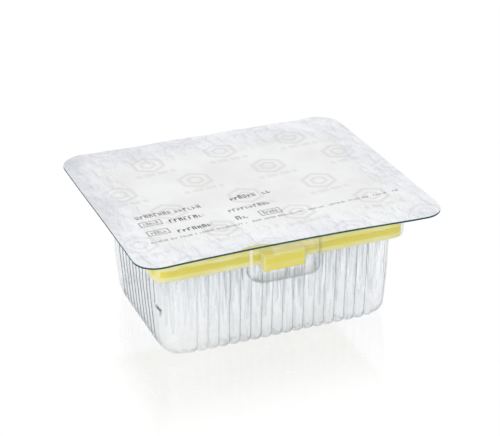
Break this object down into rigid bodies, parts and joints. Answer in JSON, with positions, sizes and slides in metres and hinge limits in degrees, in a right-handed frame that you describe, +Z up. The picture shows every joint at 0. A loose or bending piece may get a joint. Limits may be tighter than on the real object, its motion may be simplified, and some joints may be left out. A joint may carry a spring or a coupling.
{
  "type": "box of pipette tips",
  "caption": "Sealed clear blister tray with a fluted wall and wide flange under a paper lid, holding a tip plate in which hollow pipette tips hang in rows.",
  "frame": {"origin": "under the middle of the flange, on the surface that the tray's base stands on", "axes": "+Z up; +X along the twelve columns of tips; the plate's tab faces -Y"},
  "size_m": [0.145, 0.128, 0.06],
  "materials": {
    "clear_sheet": "clear thermoformed polyester sheet, glossy",
    "lid_paper": "matte coated paper, heat sealed",
    "plate_plastic": "satin moulded polypropylene",
    "tip_plastic": "natural moulded polypropylene, translucent"
  },
  "bodies": {
    "root": {"blister_tray": "clear_sheet", "lid_film": "lid_paper", "tip_plate": "plate_plastic", "tips_column_01": "tip_plastic", "tips_column_02": "tip_plastic", "tips_column_03": "tip_plastic", "tips_column_04": "tip_plastic", "tips_column_05": "tip_plastic", "tips_column_06": "tip_plastic", "tips_column_07": "tip_plastic", "tips_column_08": "tip_plastic", "tips_column_09": "tip_plastic", "tips_column_10": "tip_plastic", "tips_column_11": "tip_plastic", "tips_column_12": "tip_plastic"}
  },
  "joints": []
}
